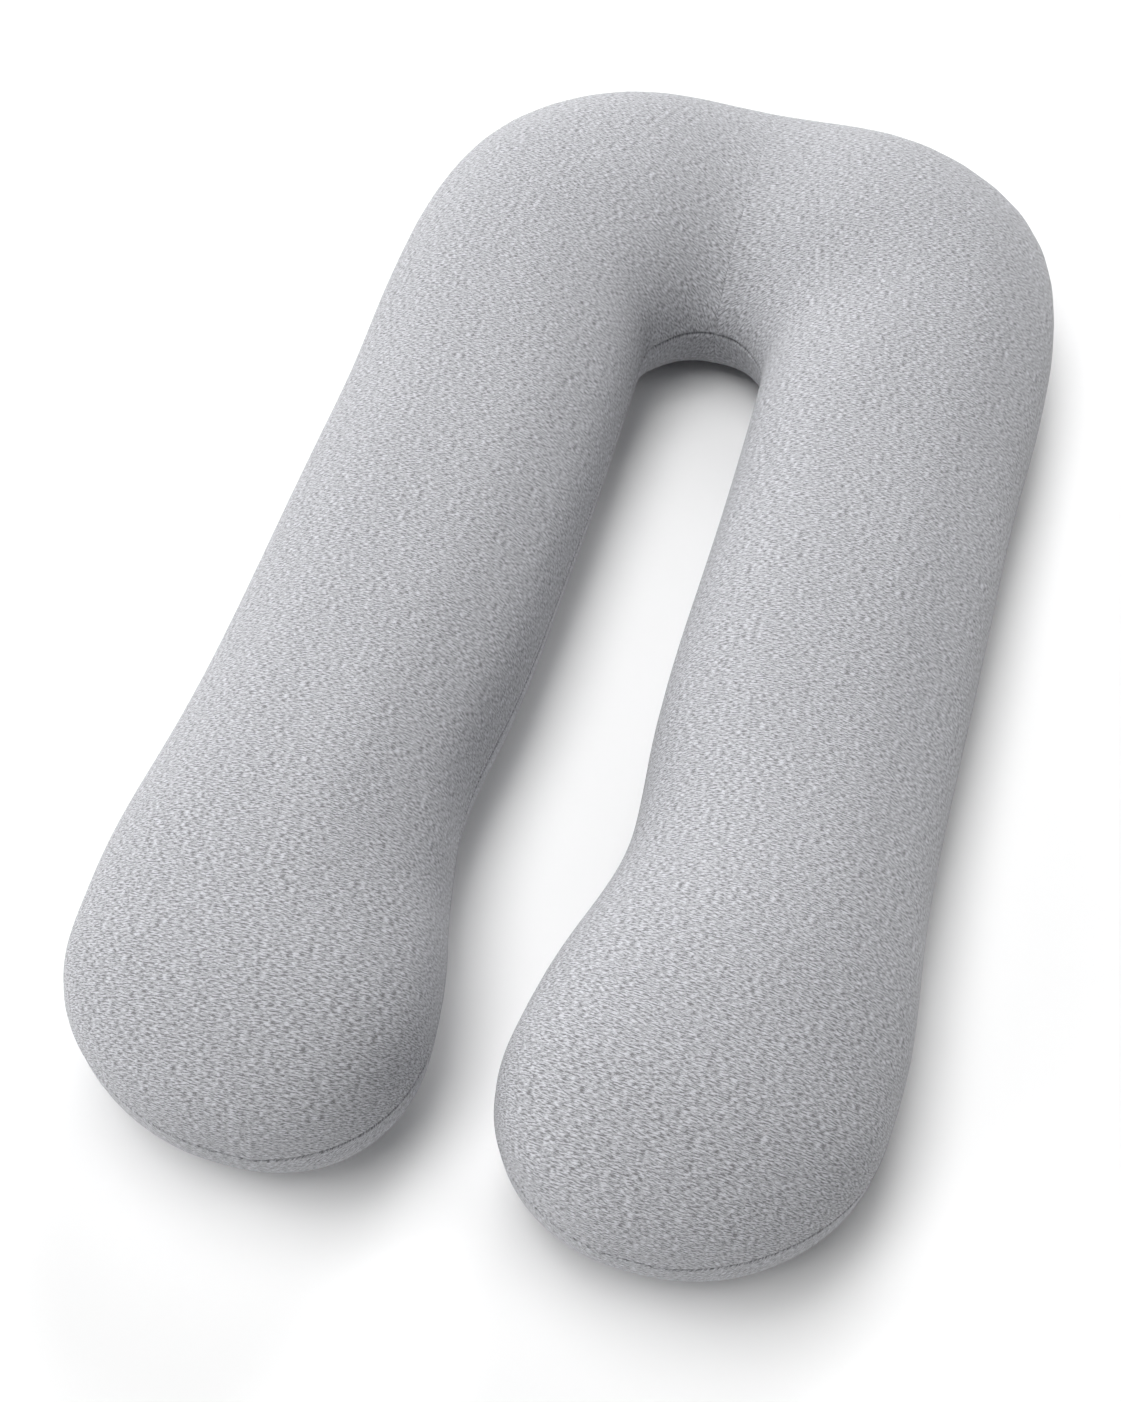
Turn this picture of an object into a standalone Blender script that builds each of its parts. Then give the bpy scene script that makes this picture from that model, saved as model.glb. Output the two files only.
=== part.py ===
"""U-shaped body pillow, lying on its under side.

One sewn and filled cushion: two equal U-shaped panels of heather jersey, joined by one seam
all round and filled firmly. The head end joins two long legs, and each leg ends in a rounded
toe that swells towards the other one.

Units are metres, +Z up, +Y towards the head end. The origin is at the centre of the bounding
box, on the surface that the pillow rests on.
"""

from collections import namedtuple
import math

import bmesh
import bpy
import numpy as np

# Driving sizes ---------------------------------------------------------------------------

WIDTH = 0.795         # over both legs
LENGTH = 1.49         # from the toes to the back of the head end

# The pillow is cut as a U that is its own mirror image. One leg is given by a few stations, and
# the other is its mirror. gap and side are how far the seam lies from the middle line on the
# gap's side and on the far side, and crown is the height. lean moves the crown towards the far
# side, as a share of the section's half width. wall is the superellipse power of the side that
# rises from the gap: 2.7 is a full, steep wall, and a low power is a slope that runs down to the
# seam, as the cloth does where it is drawn into the round end of the gap.
Station = namedtuple("Station", "name y gap side crown lean wall")
LEG = [
    Station("toe", -0.57, 0.035, 0.390, 0.215, -0.20, 2.7),
    Station("swell", -0.47, 0.050, 0.395, 0.215, -0.10, 2.6),
    Station("neck", -0.35, 0.080, 0.385, 0.205, 0.00, 2.4),
    Station("low leg", -0.20, 0.075, 0.380, 0.195, -0.10, 2.6),
    Station("mid leg", 0.00, 0.070, 0.380, 0.190, -0.10, 2.7),
    Station("high leg", 0.15, 0.070, 0.380, 0.185, -0.10, 2.7),
]
NECK_Y = -0.35
FAN = 0.15            # above the neck, sections fan out towards the head end by this slope
GAP_OFF_MIDDLE = 0.004   # the legs' filling leaves the gap this far right of the middle line

# Round the head end, the seam on the gap's side follows half an ellipse and the far seam
# follows half a superellipse. A section runs from one to the other at each pair of turns, in
# degrees from the side towards the middle.
Turn = namedtuple("Turn", "name gap_turn side_turn crown lean wall")
HEAD = [
    Turn("shoulder", 0, 0, 0.190, -0.10, 2.6),
    Turn("corner", 30, 36, 0.195, 0.05, 2.2),
    Turn("beside the middle", 60, 72, 0.195, 0.30, 2.0),
    Turn("middle", 90, 90, 0.175, 0.40, 1.9),
]
GAP_END_Y = 0.33      # where the round end of the gap begins, and its half width and reach
GAP_END_HALF = 0.070
GAP_END_REACH = 0.075
HEAD_Y = 0.40         # where the head end's rounding begins, and its half width and reach
HEAD_HALF = 0.385
HEAD_REACH = 0.345
HEAD_POWER = 3.0      # 2 is an ellipse, and more gives squarer corners

SEAM_HEIGHT = 0.088
TOE_SEAM_HEIGHT = 0.095

# Each leg ends in a rounded toe beyond its last section: how far it reaches along the leg,
# and how far its tip lies towards the outer side.
Toe = namedtuple("Toe", "reach tip_out")
LEFT_TOE = Toe(0.165, -0.035)
RIGHT_TOE = Toe(0.165, -0.015)
TOE_FULLNESS = 0.86   # power on the toe's height: 1 is a plain ellipse, less is blunter

# Shape of a cross-section: superellipse powers, and how it meets the surface below.
CROWN_POWER = 2.13    # across the crown
WALL_POWER = 2.7      # up the outer side wall
UNDER_POWER = 2.7     # the under side, both ways
SETTLE = 0.017        # how far the round under side would reach below the surface
SETTLE_BLEND = 0.012  # the height over which the under side lifts off the surface

SEAM_LIP = 0.006      # the first points above and below the seam
SEAM_DRAW = 0.004     # how far the stitches draw the seam in
THIN_SHARE = 0.25     # a thin section's lip is no more than this share of its height

STEPS_PER_SIDE = 44   # sections from the middle of the head end to the last row of a leg
TOE_STEPS = 11
CROWN_POINTS = 8      # points of a section from a seam up to its crown
UNDER_POINTS = 13     # and from seam to seam along the under side

HEATHER_GREY = (0.398, 0.4, 0.423, 1.0)   # linear colour of the jersey
JERSEY_ROUGHNESS = 0.92


# Sections --------------------------------------------------------------------------------

def natural_spline(rows, at, samples):
    """Smooth curve through the rows, which lie at the distances at, read at samples."""
    count = len(rows)
    step = np.diff(at)
    slope = np.diff(rows, axis=0) / step[:, None]
    matrix = np.eye(count)
    right = np.zeros_like(rows)
    for i in range(1, count - 1):
        matrix[i, i - 1:i + 2] = step[i - 1], 2 * (step[i - 1] + step[i]), step[i]
        right[i] = 6 * (slope[i] - slope[i - 1])
    bend = np.linalg.solve(matrix, right)
    k = np.clip(np.searchsorted(at, samples) - 1, 0, count - 2)
    h = step[k][:, None]
    t = (samples - at[k])[:, None]
    linear = slope[k] - h * (2 * bend[k] + bend[k + 1]) / 6
    return rows[k] + t * linear + t**2 * bend[k] / 2 + t**3 * (bend[k + 1] - bend[k]) / (6 * h)


def leg_row(station):
    """A right leg's section: where its seam lies at both ends, heights, lean and wall."""
    fan = FAN * max(station.y - NECK_Y, 0.0)
    seam = TOE_SEAM_HEIGHT if station.name == "toe" else SEAM_HEIGHT
    return [station.gap, station.y, station.side, station.y + fan,
            station.crown, seam, station.lean, station.wall]


def head_row(turn):
    """The same for a section of the head end's right half."""
    gap, side = math.radians(turn.gap_turn), math.radians(turn.side_turn)
    power = 2 / HEAD_POWER
    return [GAP_END_HALF * math.cos(gap), GAP_END_Y + GAP_END_REACH * math.sin(gap),
            HEAD_HALF * max(math.cos(side), 0.0) ** power,
            HEAD_Y + HEAD_REACH * math.sin(side) ** power,
            turn.crown, SEAM_HEIGHT, turn.lean, turn.wall]


def body_rows():
    """The stations of both halves, filled in evenly along the pillow's middle line."""
    right_half = np.array([leg_row(station) for station in LEG] + [head_row(turn) for turn in HEAD])
    left_half = right_half * [-1, 1, -1, 1, 1, 1, 1, 1]
    for half in (left_half, right_half):
        half[:len(LEG), 0] += GAP_OFF_MIDDLE
    rows = np.concatenate([left_half, right_half[-2::-1]])
    middle = (rows[:, 0:2] + rows[:, 2:4]) / 2
    at = np.concatenate([[0.0], np.cumsum(np.linalg.norm(np.diff(middle, axis=0), axis=1))])
    at -= at[len(rows) // 2]
    left = np.linspace(at[0], 0.0, STEPS_PER_SIDE + 1)
    right = np.linspace(0.0, at[-1], STEPS_PER_SIDE + 1)
    return natural_spline(rows, at, np.concatenate([left, right[1:]]))


def toe_rows(before, last, toe):
    """Sections that close a leg beyond its last row, each with the share of its height.

    The seam and the crown leave the last row in the direction that they reach it in.
    """
    middle = (last[0:2] + last[2:4]) / 2
    half = (last[2:4] - last[0:2]) / 2
    width = np.linalg.norm(half)
    outward = half / width
    down_leg = np.array([outward[1], -outward[0]])
    down_leg *= -np.sign(down_leg[1])
    change = last - before
    inner_run, outer_run = change[0:2] @ down_leg, change[2:4] @ down_leg
    inner_flare = -(change[0:2] @ outward) / inner_run
    outer_flare = (change[2:4] @ outward) / outer_run
    height_flare = change[4:6] * 2 / (inner_run + outer_run)
    for turn in np.linspace(0.0, math.pi / 2, TOE_STEPS + 1)[1:]:
        share = max(math.cos(turn), 0.0)
        flare_run = toe.reach * math.sin(turn) * share
        centre = middle + down_leg * toe.reach * math.sin(turn)
        centre = centre + outward * toe.tip_out * (1 - share)
        inner = centre - outward * (width * share + inner_flare * flare_run)
        outer = centre + outward * (width * share + outer_flare * flare_run)
        heights = last[4:6] + height_flare * flare_run
        yield np.concatenate([inner, outer, heights, last[6:8]]), share ** TOE_FULLNESS


def settle(height):
    """Flat on the surface below, with a soft bend where the under side lifts off it."""
    if height <= -SETTLE_BLEND:
        return 0.0
    if height >= SETTLE_BLEND:
        return height
    return (height + SETTLE_BLEND) ** 2 / (4 * SETTLE_BLEND)


def seam_angle(rise, power):
    """Angle at which a superellipse section stands SEAM_LIP above or below the seam."""
    return math.asin(min(SEAM_LIP / rise, THIN_SHARE) ** (power / 2))


def arc(from_angle, to_angle, count, across_power, up_power):
    """Points of a superellipse of half width and height 1, as (across, up)."""
    for angle in np.linspace(from_angle, to_angle, count):
        across = math.copysign(abs(math.cos(angle)) ** (2 / across_power), math.cos(angle))
        yield across, math.sin(angle) ** (2 / up_power)


def section_points(row, fullness):
    """One ring: outer seam, over the crown, inner seam, and back along the under side."""
    inner, outer, (crown, seam, lean, wall) = row[0:2], row[2:4], row[4:8]
    centre = (inner + outer) / 2
    half = (outer - inner) / 2
    draw = SEAM_DRAW / max(np.linalg.norm(half), SEAM_DRAW)
    rise = max((crown - seam) * fullness, SEAM_LIP)
    drop = max((seam + SETTLE) * fullness, SEAM_LIP)
    top = math.pi / 2

    def place(across, height):
        x, y = centre + half * across
        return (x, y, settle(height))

    points = [place(1 - draw, seam)]
    outer_side = arc(seam_angle(rise, WALL_POWER), top, CROWN_POINTS, CROWN_POWER, WALL_POWER)
    inner_side = arc(top, math.pi - seam_angle(rise, wall), CROWN_POINTS, CROWN_POWER, wall)
    for across, up in [*outer_side, *list(inner_side)[1:]]:
        points.append(place(across + lean * (1 - across**2), seam + up * rise))
    points.append(place(draw - 1, seam))
    start = seam_angle(drop, UNDER_POWER)
    for across, down in arc(math.pi - start, start, UNDER_POINTS, UNDER_POWER, UNDER_POWER):
        points.append(place(across, seam - down * drop))
    return points


# Mesh ------------------------------------------------------------------------------------

def bridge(bm, ring_a, ring_b):
    """Quads between two rings of the same number of points."""
    count = len(ring_a)
    for i in range(count):
        j = (i + 1) % count
        bm.faces.new((ring_a[i], ring_a[j], ring_b[j], ring_b[i]))


def close_toe(bm, ring, tip):
    """Triangles from a leg's last ring to the point of its toe, on the seam."""
    count = len(ring)
    for i in range(count):
        bm.faces.new((ring[i], ring[(i + 1) % count], tip))


def add_ring(bm, row, fullness=1.0):
    return [bm.verts.new(point) for point in section_points(row, fullness)]


def add_toe(bm, ring, before, last, toe):
    """Rings down to the toe's tip, then the tip itself."""
    rows = list(toe_rows(before, last, toe))
    for toe_row, fullness in rows[:-1]:
        next_ring = add_ring(bm, toe_row, fullness)
        bridge(bm, ring, next_ring)
        ring = next_ring
    tip_row = rows[-1][0]
    tip_x, tip_y = (tip_row[0:2] + tip_row[2:4]) / 2
    close_toe(bm, ring, bm.verts.new((tip_x, tip_y + SEAM_DRAW, tip_row[5])))


def centre_on_origin(bm):
    """Put the bounding box over the origin, and make it the stated width and length."""
    points = np.array([vert.co for vert in bm.verts])
    low, high = points.min(axis=0), points.max(axis=0)
    fit_x = WIDTH / (high[0] - low[0])
    fit_y = LENGTH / (high[1] - low[1])
    for vert in bm.verts:
        vert.co.x = (vert.co.x - (low[0] + high[0]) / 2) * fit_x
        vert.co.y = (vert.co.y - (low[1] + high[1]) / 2) * fit_y


def pillow_mesh():
    bm = bmesh.new()
    rows = body_rows()
    rings = [add_ring(bm, row) for row in rows]
    for ring_a, ring_b in zip(rings, rings[1:]):
        bridge(bm, ring_a, ring_b)
    add_toe(bm, rings[0], rows[1], rows[0], LEFT_TOE)
    add_toe(bm, rings[-1], rows[-2], rows[-1], RIGHT_TOE)
    centre_on_origin(bm)
    bmesh.ops.recalc_face_normals(bm, faces=bm.faces)
    mesh = bpy.data.meshes.new("pillow_body")
    bm.to_mesh(mesh)
    bm.free()
    mesh.shade_smooth()
    return mesh


def jersey_material():
    """Heather grey cotton jersey: matt, with no shine."""
    material = bpy.data.materials.new("heather_jersey")
    material.use_nodes = True
    shader = material.node_tree.nodes["Principled BSDF"]
    shader.inputs["Base Color"].default_value = HEATHER_GREY
    shader.inputs["Roughness"].default_value = JERSEY_ROUGHNESS
    shader.inputs["Metallic"].default_value = 0.0
    return material


def clear_scene():
    for item in list(bpy.data.objects):
        bpy.data.objects.remove(item, do_unlink=True)


def build():
    clear_scene()
    pillow = bpy.data.objects.new("pillow_body", pillow_mesh())
    pillow.data.materials.append(jersey_material())
    bpy.context.scene.collection.objects.link(pillow)


build()
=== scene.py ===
# %% [markdown]
# # A U-shaped body pillow in heather jersey
#
# The real pillow is one long cushion bent into a U: a wide head end and two legs whose toes swell
# towards each other. A maker cuts four panels of soft knitted jersey: an upper and an under one for
# each leg with its half of the head end. The left and right ones are joined over the middle of the
# head end, and upper and under are sewn together all round. The cover is then stuffed with loose
# polyester fibre until it is firm and smooth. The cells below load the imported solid, set up a
# small studio, and dress the solid in its cloth.

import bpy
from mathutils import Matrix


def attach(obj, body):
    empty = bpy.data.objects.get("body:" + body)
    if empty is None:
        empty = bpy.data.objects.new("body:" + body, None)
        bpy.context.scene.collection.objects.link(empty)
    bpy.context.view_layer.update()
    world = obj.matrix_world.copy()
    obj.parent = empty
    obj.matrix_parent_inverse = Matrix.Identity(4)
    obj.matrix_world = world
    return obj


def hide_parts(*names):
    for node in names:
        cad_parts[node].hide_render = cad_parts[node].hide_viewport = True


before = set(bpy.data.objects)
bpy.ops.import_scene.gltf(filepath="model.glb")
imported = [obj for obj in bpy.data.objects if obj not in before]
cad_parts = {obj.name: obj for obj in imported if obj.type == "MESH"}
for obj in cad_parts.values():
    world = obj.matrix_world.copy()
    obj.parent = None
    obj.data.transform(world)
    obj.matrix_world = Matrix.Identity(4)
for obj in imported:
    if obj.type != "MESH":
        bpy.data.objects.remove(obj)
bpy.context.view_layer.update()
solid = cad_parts["pillow_body"]


def rounded(values, digits=3):
    """A vector's numbers, short enough to print."""
    return [round(value, digits) for value in values]


# %% [markdown]
# ## Camera
#
# A long lens from well above the toes shows the whole U and hardly any perspective. The camera
# could be placed by eye, but an azimuth, an elevation and a distance from the point that it looks
# at say the same thing in numbers that can be checked. Azimuth 0 looks along +Y, from the toes
# to the head end.

# %% Camera
import math

import bpy
from mathutils import Matrix, Vector


def direction(azimuth, elevation):
    """Unit vector from the object towards somewhere seen at these angles, in degrees."""
    turn, lift = math.radians(azimuth), math.radians(elevation)
    flat = math.cos(lift)
    return Vector((math.sin(turn) * flat, -math.cos(turn) * flat, math.sin(lift)))


LOOK_AT = Vector((-0.028, -0.159, 0.08))
CAMERA_AZIMUTH = 15.3
CAMERA_ELEVATION = 52.5
CAMERA_DISTANCE = 2.47
CAMERA_ROLL = math.radians(0.5)
LENS_MM = 61.4
LONG_SIDE_MM = 36.0

towards_camera = direction(CAMERA_AZIMUTH, CAMERA_ELEVATION)
camera_place = Matrix.Translation(LOOK_AT + towards_camera * CAMERA_DISTANCE)
facing = (-towards_camera).to_track_quat("-Z", "Y").to_matrix().to_4x4()
camera_data = bpy.data.cameras.new("studio_camera")
camera_data.sensor_width = LONG_SIDE_MM
camera_data.lens = LENS_MM
camera = bpy.data.objects.new("studio_camera", camera_data)
camera.matrix_world = camera_place @ facing @ Matrix.Rotation(CAMERA_ROLL, 4, "Z")
bpy.context.scene.collection.objects.link(camera)
bpy.context.scene.camera = camera
print("camera at", rounded(camera.matrix_world.translation))

# %% [markdown]
# ## Studio light
#
# Soft cloth needs soft light. Six lights are far away and very wide, so their shadows have no
# edge. Three low ones go round from the back over the left to the front left, each weaker than
# the last, and give the legs their slow change from light to shade. Two high ones light the
# crown and burn out the white floor, and a weak one from the right lifts the far sides. A round
# lamp stands near the head end. Its light falls off along the pillow, so the head end is
# brighter than the toes, which far lights alone can't do. One hard lamp would draw hard shadow
# edges, which a white studio doesn't have. The colours stay as they are set, so the view
# transform is the plain one.

# %% Studio light
from collections import namedtuple

scene = bpy.context.scene
scene.view_settings.view_transform = "Standard"

LIGHT_WIDTH = math.radians(35)   # how wide each far light is, seen from the pillow
# Where each far light stands round the pillow, and its strength in watts per square metre.
Light = namedtuple("Light", "name azimuth elevation strength")
LIGHTS = [
    Light("back_low", 180, 20, 1.5),
    Light("left_low", 270, 20, 1.25),
    Light("front_left_low", 315, 20, 0.75),
    Light("back_left_high", 225, 70, 1.0),
    Light("front_left_high", 315, 70, 1.25),
    Light("right", 90, 45, 0.4),
]

HEAD_LAMP = Light("head_lamp", 180, 40, 15.0)   # its strength is in watts
LAMP_DISTANCE = 3.2
LAMP_DIAMETER = 1.2


def place_light(data, towards, distance):
    """Put a light at a distance in a direction, turned to face the origin."""
    piece = bpy.data.objects.new(data.name, data)
    piece.location = towards * distance
    piece.rotation_mode = "QUATERNION"
    piece.rotation_quaternion = towards.to_track_quat("Z", "Y")
    scene.collection.objects.link(piece)


# A far light only has a direction: where it stands changes nothing.
for light in LIGHTS:
    data = bpy.data.lights.new(light.name, "SUN")
    data.angle = LIGHT_WIDTH
    data.energy = light.strength
    place_light(data, direction(light.azimuth, light.elevation), CAMERA_DISTANCE)
lamp_data = bpy.data.lights.new(HEAD_LAMP.name, "AREA")
lamp_data.shape = "DISK"
lamp_data.size = LAMP_DIAMETER
lamp_data.energy = HEAD_LAMP.strength
place_light(lamp_data, direction(HEAD_LAMP.azimuth, HEAD_LAMP.elevation), LAMP_DISTANCE)
print(len(LIGHTS), "far lights and a lamp near the head end")

# %% [markdown]
# ## Nodes and colours
#
# Every material below is a chain of shader nodes. One helper adds a node with its settings and
# links, and another turns a familiar sRGB hex colour into the linear values that Blender's
# shaders work in.

# %% Helpers for materials
def linear(hex_colour):
    """sRGB hex, such as "c8c9cc", as a linear colour with alpha."""
    values = [int(hex_colour[i:i + 2], 16) / 255 for i in (0, 2, 4)]
    return [v / 12.92 if v <= 0.04045 else ((v + 0.055) / 1.055) ** 2.4 for v in values] + [1.0]


def add_node(material, kind, inputs=None, **settings):
    """A shader node. inputs maps a socket's name or number to a value or to another socket."""
    node = material.node_tree.nodes.new(kind)
    for name, value in settings.items():
        setattr(node, name, value)
    for name, value in (inputs or {}).items():
        if isinstance(value, bpy.types.NodeSocket):
            material.node_tree.links.new(value, node.inputs[name])
        else:
            node.inputs[name].default_value = value
    return node


def new_material(name):
    material = bpy.data.materials.new(name)
    material.use_nodes = True
    material.node_tree.nodes.clear()
    return material


print("white is", linear("ffffff"))

# %% [markdown]
# ## Floor
#
# A plain white studio floor. Its light bounces up under the pillow's sides, which is why the
# under panels aren't black.

# %% Floor
import bmesh

FLOOR_HALF = 20.0


def mesh_object(name, bm):
    """A new object at the origin, with the bmesh as its mesh."""
    mesh = bpy.data.meshes.new(name)
    bm.to_mesh(mesh)
    bm.free()
    piece = bpy.data.objects.new(name, mesh)
    scene.collection.objects.link(piece)
    return piece


white_paint = new_material("matt_white_paint")
paint_shader = add_node(white_paint, "ShaderNodeBsdfPrincipled",
                        {"Base Color": linear("fafafa"), "Roughness": 0.9,
                         "Specular IOR Level": 0.0})
add_node(white_paint, "ShaderNodeOutputMaterial", {"Surface": paint_shader.outputs["BSDF"]})

bm = bmesh.new()
bmesh.ops.create_grid(bm, x_segments=1, y_segments=1, size=FLOOR_HALF)
floor = mesh_object("studio_floor", bm)
floor.data.materials.append(white_paint)
print("floor", 2 * FLOOR_HALF, "m square")

# %% [markdown]
# ## Where the filling lies
#
# The cover starts as a welded copy of the solid, with its quads given back. Loose fibre is never
# packed quite evenly. Beside the valley at the end of the gap, and on the left leg above its toe,
# a little more of it makes the upper panels stand higher, and the cover is drawn in at the left
# leg's neck. These are wide, low forms, so each is a smooth move of the copy's points around
# one place.

# %% Uneven filling
WELD = 1e-5
MOST_FOLD = math.radians(40)    # triangles that fold or skew by more than
MOST_SKEW = math.radians(60)    # these angles aren't joined into a quad

bm = bmesh.new()
bm.from_mesh(solid.data)
bmesh.ops.remove_doubles(bm, verts=bm.verts, dist=WELD)
bmesh.ops.join_triangles(bm, faces=bm.faces, angle_face_threshold=MOST_FOLD,
                         angle_shape_threshold=MOST_SKEW)

# In metres: each form's place in plan, its width, and how far it moves the cover up and across.
Form = namedtuple("Form", "name x y reach up across")
FORMS = [
    Form("crest beside the valley", -0.05, 0.48, 0.10, 0.015, 0.0),
    Form("left leg above its neck", -0.13, -0.35, 0.10, 0.015, 0.0),
    Form("neck of the left leg", -0.06, -0.46, 0.05, -0.005, -0.005),
]
SEAM_LEVEL = 0.088      # forms move only what is above the seam up or down,
RISE_RUN = 0.05         # in full from this much above it,
FLOOR_RUN = 0.03        # and move across in full from this much above the floor


def uneven_filling(point):
    """How far the forms move a point of the cover."""
    above_seam = min(max((point.z - SEAM_LEVEL) / RISE_RUN, 0.0), 1.0)
    above_floor = min(max(point.z / FLOOR_RUN, 0.0), 1.0)
    move = Vector()
    for form in FORMS:
        away = ((point.x - form.x) ** 2 + (point.y - form.y) ** 2) / form.reach ** 2
        move += Vector((form.across * above_floor, 0.0, form.up * above_seam)) * math.exp(-away)
    return move


for vert in bm.verts:
    vert.co += uneven_filling(vert.co)
print(len(FORMS), "wide forms where the filling lies unevenly")

# %% [markdown]
# ## The cover, before it is stuffed
#
# The copy has the pillow's true shape, in large faces. Cloth needs small even ones, so it is
# rounded by a subdivision surface, and remeshed. The seam is the one fold that turns inwards, so
# its edges are found by their fold angle. Their places are kept, and the fold itself is smoothed
# away, because a remesh would leave it ragged. A sharp seam is sewn in again later.

# %% Find the seam
from mathutils.bvhtree import BVHTree
from mathutils.kdtree import KDTree

SEAM_FOLD = math.radians(15)
TOE_POINT_EDGES = 20    # more edges than this meet only at the point of a toe


def each_once(items):
    """The items without repeats, in the order that they came in, which a set wouldn't keep."""
    return list(dict.fromkeys(items))


bm.normal_update()
surface = BVHTree.FromBMesh(bm)
seam_edges = [edge for edge in bm.edges if edge.calc_face_angle_signed() < -SEAM_FOLD]
toe_points = [vert for vert in bm.verts if len(vert.link_edges) > TOE_POINT_EDGES]
seam_verts = each_once([vert for edge in seam_edges for vert in edge.verts] + toe_points)

SEAM_SAMPLES = 6
seam_points = [edge.verts[0].co.lerp(edge.verts[1].co, step / SEAM_SAMPLES)
               for edge in seam_edges for step in range(SEAM_SAMPLES)]
seam_points += [vert.co.copy() for vert in toe_points]
in_plan = KDTree(len(seam_points))
in_space = KDTree(len(seam_points))
for number, point in enumerate(seam_points):
    in_plan.insert((point.x, point.y, 0.0), number)
    in_space.insert(point, number)
in_plan.balance()
in_space.balance()
print("seam found along", len(seam_edges), "edges and", len(toe_points), "toe points")

# %% Round it and remesh it evenly
EVEN_FACE = 0.007       # side of the cover's faces: small enough for soft forms, quick to stuff
ROUNDING_LEVELS = 2
SEAM_ROUNDS = 3         # rounds of smoothing that take the seam's fold away,
COVER_ROUNDS = 6        # and the small steps that the remesh leaves


def apply_modifiers(piece):
    """Replace the piece's mesh by what its modifiers make of it."""
    evaluated = piece.evaluated_get(bpy.context.evaluated_depsgraph_get())
    old = piece.data
    piece.data = bpy.data.meshes.new_from_object(evaluated)
    piece.data.name = piece.name
    piece.modifiers.clear()
    bpy.data.meshes.remove(old)


def smooth(bm, verts, rounds):
    for _ in range(rounds):
        bmesh.ops.smooth_vert(bm, verts=verts, factor=0.5, use_axis_x=True, use_axis_y=True,
                              use_axis_z=True)


smooth(bm, seam_verts, SEAM_ROUNDS)
cover = mesh_object("jersey_cover", bm)
rounding = cover.modifiers.new("rounding", "SUBSURF")
rounding.levels = rounding.render_levels = ROUNDING_LEVELS
even = cover.modifiers.new("even_faces", "REMESH")
even.mode = "VOXEL"
even.voxel_size = EVEN_FACE
even.use_smooth_shade = True
apply_modifiers(cover)

bm = bmesh.new()
bm.from_mesh(cover.data)
smooth(bm, bm.verts, COVER_ROUNDS)
bm.to_mesh(cover.data)
bm.free()
print("cover:", len(cover.data.polygons), "even faces")

# %% [markdown]
# ## Room for the filling
#
# Rounding and smoothing leave the cover a few millimetres inside the solid. Each point is moved
# out along its normal by that gap, evened out over its neighbours so that no edge of the solid's
# large faces comes back. What stays is a little room that the filling takes up: none at the seam,
# and most on the crown.

# %% Bring the cover back to the solid
import numpy as np

FILLING_ROOM = 0.001
ROOM_RUN = 0.05         # the distance from the seam over which the room opens
FLOOR_BAND = 0.012      # what lies lower than this is held by the surface below
GAP_ROUNDS = 12


def even_out(mesh, amounts, rounds):
    """Average each point's amount with its neighbours', over and over."""
    ends = np.empty(len(mesh.edges) * 2, np.int32)
    mesh.edges.foreach_get("vertices", ends)
    first, second = ends[0::2], ends[1::2]
    count = np.bincount(ends, minlength=len(amounts))
    for _ in range(rounds):
        total = np.bincount(first, amounts[second], len(amounts))
        total += np.bincount(second, amounts[first], len(amounts))
        amounts = (amounts + total / count) / 2
    return amounts


def gap_to_solid(vert):
    """How far the point has to move along its normal to reach the solid."""
    nearest = surface.find_nearest(vert.co)[0]
    return (nearest - vert.co).dot(vert.normal)


def room(vert):
    """The filling's room under a point: none at the seam or on the surface below."""
    from_seam = min(in_space.find(vert.co)[2] / ROOM_RUN, 1.0)
    above_floor = min(max((vert.co.z - FLOOR_BAND) / FLOOR_BAND, 0.0), 1.0)
    return FILLING_ROOM * from_seam * above_floor


def move_out(mesh, amounts):
    """Move each point along its normal by its own amount."""
    normals = [vert.normal.copy() for vert in mesh.vertices]
    for vert, normal, amount in zip(mesh.vertices, normals, amounts):
        vert.co += normal * amount
    mesh.update()


gaps = np.array([gap_to_solid(vert) for vert in cover.data.vertices])
rooms = np.array([room(vert) for vert in cover.data.vertices])
move_out(cover.data, even_out(cover.data, gaps, GAP_ROUNDS) - rooms)
print("the cover was", round(1000 * gaps.mean(), 1), "mm inside the solid on average")

# %% [markdown]
# ## Stuffing
#
# Pressing fibre into the cover is what gives a pillow its rounded walls, so the filling is a
# short cloth simulation with air pressure inside and no gravity. The seam and the part that lies
# on the surface are pinned. Jersey stretches easily but the filling is firm and smooth, so each
# point keeps a few millimetres of its swell at most, evened out over its neighbours, and the
# simulation's small wrinkles are left out. The swell is written back to the mesh and the Cloth
# modifier is taken off again.

# %% Stuffing
PRESSURE = 4.0
STUFFING_FRAMES = 16
MOST_SWELL = 0.006
SWELL_ROUNDS = 40
SEAM_HOLD = 0.007       # points this near to the seam are held by it,
FLOOR_HOLD = 0.003      # and points lower than this by the surface below


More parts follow.
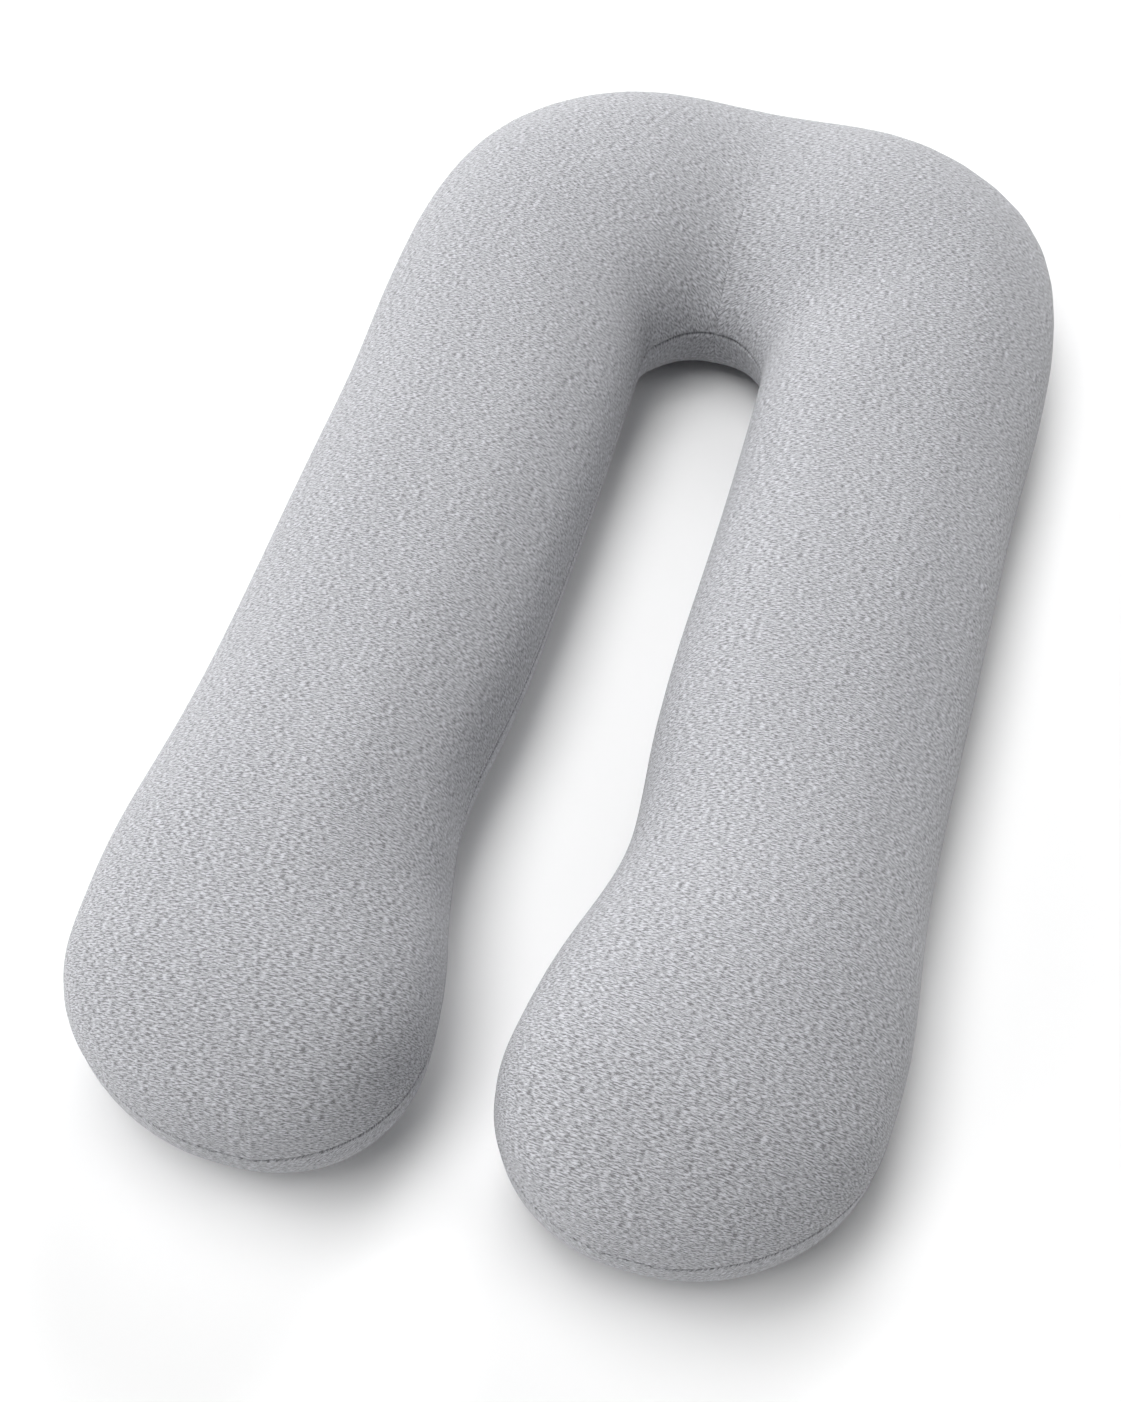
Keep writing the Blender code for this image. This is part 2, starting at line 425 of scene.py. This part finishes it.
def stuff(piece):
    """How far the filling pushes each point of the cover outwards, in metres."""
    mesh = piece.data
    held = [vert.index for vert in mesh.vertices
            if vert.co.z < FLOOR_HOLD or in_space.find(vert.co)[2] < SEAM_HOLD]
    pins = piece.vertex_groups.new(name="held")
    pins.add(held, 1.0, "REPLACE")
    cloth = piece.modifiers.new("stuffing", "CLOTH")
    cloth.settings.vertex_group_mass = pins.name
    cloth.settings.use_pressure = True
    cloth.settings.uniform_pressure_force = PRESSURE
    cloth.settings.effector_weights.gravity = 0.0
    for frame_number in range(1, STUFFING_FRAMES + 1):
        scene.frame_set(frame_number)
    stuffed = piece.evaluated_get(bpy.context.evaluated_depsgraph_get()).data
    swell = np.array([(after.co - vert.co).dot(vert.normal)
                      for vert, after in zip(mesh.vertices, stuffed.vertices)])
    piece.modifiers.clear()
    piece.vertex_groups.clear()
    scene.frame_set(1)
    return even_out(mesh, np.clip(swell, 0.0, MOST_SWELL), SWELL_ROUNDS)


swell = stuff(cover)
move_out(cover.data, swell)
print("stuffed: the cover swells by", round(1000 * swell.mean(), 1), "mm on average,",
      round(1000 * swell.max(), 1), "mm at most")

# %% [markdown]
# ## Sewing
#
# A seam shows as a fine dark line between two low lips, where the stitches pull the cloth in. It
# could be painted on, but a real groove catches the light from every side. Rows of edges have to
# run along it first. The seam's height changes a little round the pillow, so the mesh is
# shifted down by that height, cut by level planes, and shifted back. Each point near the seam is
# then moved in or out along its normal, by how far it lies from the seam. A second, much finer
# seam joins the left and right panels over the middle of the head end, in the
# valley that runs up from the end of the gap, and fades towards the back.

# %% Cut rows for the seams
# How far the cloth is moved outwards at each distance from its seam, in metres.
Row = namedtuple("Row", "distance outwards")
SIDE_SEAM = [Row(0.0, -0.0035), Row(0.0012, -0.0003), Row(0.0024, 0.0011), Row(0.0065, 0.0)]
MIDDLE_SEAM = [Row(0.0, -0.0006), Row(0.0012, 0.0), Row(0.003, 0.0002), Row(0.006, 0.0)]
SNAP = EVEN_FACE / 2    # points nearer to a seam than this are moved onto it first
MIDDLE_X = 0.001
MIDDLE_FROM_Y = 0.2     # the gap ends behind this, so what is farther back is the head end
MIDDLE_FADE = (0.45, 0.7)   # along Y, where the middle seam starts to fade and where it is gone
ON_SEAM = 1e-6
SEAM_NEIGHBOURS = 4     # samples of the seam that its height is evened out over


def seam_height(point):
    """Height of the seam nearest in plan, evened out over the nearest few samples."""
    near = in_plan.find_n((point.x, point.y, 0.0), SEAM_NEIGHBOURS)
    return sum(seam_points[number].z for _, number, _ in near) / len(near)


def verts_of(faces):
    return each_once(vert for face in faces for vert in face.verts)


def edges_of(faces):
    return each_once(edge for face in faces for edge in face.edges)


def cut_rows(bm, choose_faces, seam, normal, middle):
    """Snap the nearest points onto a seam, cut both sides' rows, and mark its edges."""
    snapped = []
    for vert in verts_of(choose_faces(bm)):
        away = vert.co.dot(normal) - middle
        if abs(away) < SNAP:
            vert.co -= normal * away
            snapped.append(vert)
    bmesh.ops.remove_doubles(bm, verts=snapped, dist=SNAP / 2)
    for distance in sorted({side * row.distance for row in seam[:-1] for side in (-1, 1)}):
        faces = choose_faces(bm)
        bmesh.ops.bisect_plane(bm, geom=faces + edges_of(faces) + verts_of(faces), dist=ON_SEAM,
                               plane_co=normal * (middle + distance), plane_no=normal)
    for edge in edges_of(choose_faces(bm)):
        if all(abs(vert.co.dot(normal) - middle) < 2 * ON_SEAM for vert in edge.verts):
            edge.seam = True
            edge.smooth = False


def outwards(distance, seam):
    """How far the cloth is moved out at a distance from its seam."""
    distances, moves = zip(*seam)
    return float(np.interp(abs(distance), distances, moves))


def all_faces(bm):
    return bm.faces[:]


def head_faces(bm):
    return [face for face in bm.faces if face.calc_center_median().y > MIDDLE_FROM_Y]


bm = bmesh.new()
bm.from_mesh(cover.data)
lift = bm.verts.layers.float.new("seam_height")
sewn = bm.verts.layers.float.new("sewn")
for vert in bm.verts:
    vert[lift] = seam_height(vert.co)
    vert.co.z -= vert[lift]
cut_rows(bm, all_faces, SIDE_SEAM, Vector((0, 0, 1)), 0.0)
cut_rows(bm, head_faces, MIDDLE_SEAM, Vector((1, 0, 0)), MIDDLE_X)

panel = bm.faces.layers.int.new("panel")
PANELS = ["under left", "under right", "upper left", "upper right"]
for face in bm.faces:
    middle = face.calc_center_median()
    face[panel] = 2 * (middle.z > 0) + (middle.x > MIDDLE_X)
for vert in bm.verts:
    vert[sewn] = outwards(vert.co.z, SIDE_SEAM)
    if vert.co.y > MIDDLE_FROM_Y:
        fade = float(np.interp(vert.co.y, MIDDLE_FADE, (1.0, 0.0)))
        vert[sewn] += outwards(vert.co.x - MIDDLE_X, MIDDLE_SEAM) * fade
    vert.co.z += vert[lift]
print("seams cut:", sum(edge.seam for edge in bm.edges), "seam edges,", len(bm.faces), "faces")
bm.to_mesh(cover.data)
bm.free()

# %% [markdown]
# ## Flat-cut panels
#
# Jersey has a grain, and on this pillow its flecks run across the legs, turn down towards the end
# of the gap, and meet in a V at the middle seam. That is what flat-cut panels do when they are
# bent round the gap, so the cover is unwrapped along its seams into the four panels that a
# maker would cut. Each flat panel is then turned and scaled until its leg lies along Y in
# metres, and the UV map serves as the cloth's own measure.

# %% Unwrap into panels
STRAIGHT_LEG = (-0.3, 0.15)     # the stretch of leg, along Y, that sets a panel's grain
NEARLY_LEVEL = 0.8              # least upward or downward normal of the faces that set it
UNWRAP_ROUNDS = 5
PANEL_MARGIN = 0.01             # room between panels while they are unwrapped


def unwrap(piece):
    bpy.context.view_layer.objects.active = piece
    piece.select_set(True)
    bpy.ops.object.mode_set(mode="EDIT")
    bpy.ops.mesh.select_all(action="SELECT")
    bpy.ops.uv.unwrap(method="MINIMUM_STRETCH", iterations=UNWRAP_ROUNDS, margin=PANEL_MARGIN)
    bpy.ops.object.mode_set(mode="OBJECT")
    piece.select_set(False)


def lay_in_metres(bm, uv_layer, loops, level_loops):
    """Turn, scale and shift a panel so that its UVs are metres, with the leg along Y."""
    flat = np.array([complex(*loop[uv_layer].uv) for loop in level_loops])
    real = np.array([complex(loop.vert.co.x, loop.vert.co.y) for loop in level_loops])
    flat_off, real_off = flat - flat.mean(), real - real.mean()
    straight = np.vdot(flat_off, real_off)
    mirrored = np.vdot(flat_off.conj(), real_off)
    is_mirrored = abs(mirrored) > abs(straight)
    turn = (mirrored if is_mirrored else straight) / np.vdot(flat_off, flat_off)
    for loop in loops:
        value = complex(*loop[uv_layer].uv) - flat.mean()
        value = turn * (value.conjugate() if is_mirrored else value) + real.mean()
        loop[uv_layer].uv = (value.real, value.imag)
    return abs(turn)


unwrap(cover)
bm = bmesh.new()
bm.from_mesh(cover.data)
uv_layer = bm.loops.layers.uv.verify()
panel = bm.faces.layers.int["panel"]
sewn = bm.verts.layers.float["sewn"]
for number, name in enumerate(PANELS):
    faces = [face for face in bm.faces if face[panel] == number]
    level = [face for face in faces if abs(face.normal.z) > NEARLY_LEVEL
             and STRAIGHT_LEG[0] < face.calc_center_median().y < STRAIGHT_LEG[1]]
    scale = lay_in_metres(bm, uv_layer, [loop for face in faces for loop in face.loops],
                          [loop for face in level for loop in face.loops])
    print(name, "panel:", len(faces), "faces, scaled by", round(scale, 2))
for vert in bm.verts:
    vert.co += vert.normal * vert[sewn]
for face in bm.faces:
    face.smooth = True
bm.to_mesh(cover.data)
bm.free()

# %% [markdown]
# ## Heather jersey
#
# Heather, or marl, is cotton jersey knitted from yarn in which undyed and dark fibres are spun
# together, and its face is lightly brushed. The eye sees a pale grey, slightly cool cloth with
# fine light and dark strokes along the yarn, no gloss, and a faint halo of fuzz where it turns
# away. The strokes are noise stretched along the panel's X. A wave or a brick pattern would be
# too regular, because no two stretches of marl yarn are alike.

# %% Heather jersey material
STROKE_LENGTH = 0.0055   # metres of yarn that stay light or dark
STROKE_WIDTH = 0.0012    # one course of the knit, drawn a little coarse so that it shows
DARK_YARN, PALE_YARN = "78787a", "cdced3"
ALL_DARK, ALL_PALE = 0.36, 0.64   # the noise below and above which the yarn is one of them
BRUSHED_DEPTH = 0.0004   # metres between the bottom and the top of the brushed face

jersey = new_material("brushed_heather_jersey")
cloth_uv = add_node(jersey, "ShaderNodeUVMap", uv_map=cover.data.uv_layers[0].name)
yarn = add_node(jersey, "ShaderNodeMapping",
                {"Vector": cloth_uv.outputs["UV"],
                 "Scale": (1 / STROKE_LENGTH, 1 / STROKE_WIDTH, 1.0)})
strokes = add_node(jersey, "ShaderNodeTexNoise",
                   {"Vector": yarn.outputs["Vector"], "Scale": 1.0, "Detail": 3.0,
                    "Roughness": 0.65, "Distortion": 0.3}, noise_dimensions="2D")
dyed = add_node(jersey, "ShaderNodeValToRGB", {"Fac": strokes.outputs["Fac"]})
for end, position, hex_colour in zip(dyed.color_ramp.elements, (ALL_DARK, ALL_PALE),
                                     (DARK_YARN, PALE_YARN)):
    end.position = position
    end.color = linear(hex_colour)
relief = add_node(jersey, "ShaderNodeBump",
                  {"Height": strokes.outputs["Fac"], "Distance": BRUSHED_DEPTH, "Strength": 0.6})
# Brushed cotton is rough all through, and its loose fibre ends catch a little light at the edges.
jersey_shader = add_node(jersey, "ShaderNodeBsdfPrincipled",
                         {"Base Color": dyed.outputs["Color"], "Normal": relief.outputs["Normal"],
                          "Roughness": 0.92, "Specular IOR Level": 0.2, "Sheen Weight": 0.15,
                          "Sheen Roughness": 0.5})
add_node(jersey, "ShaderNodeOutputMaterial", {"Surface": jersey_shader.outputs["BSDF"]})
cover.data.materials.clear()
cover.data.materials.append(jersey)
print("jersey strokes", 1000 * STROKE_LENGTH, "by", 1000 * STROKE_WIDTH, "mm")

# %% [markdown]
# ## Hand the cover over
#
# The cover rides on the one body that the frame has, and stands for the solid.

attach(cover, "root")
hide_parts("pillow_body")
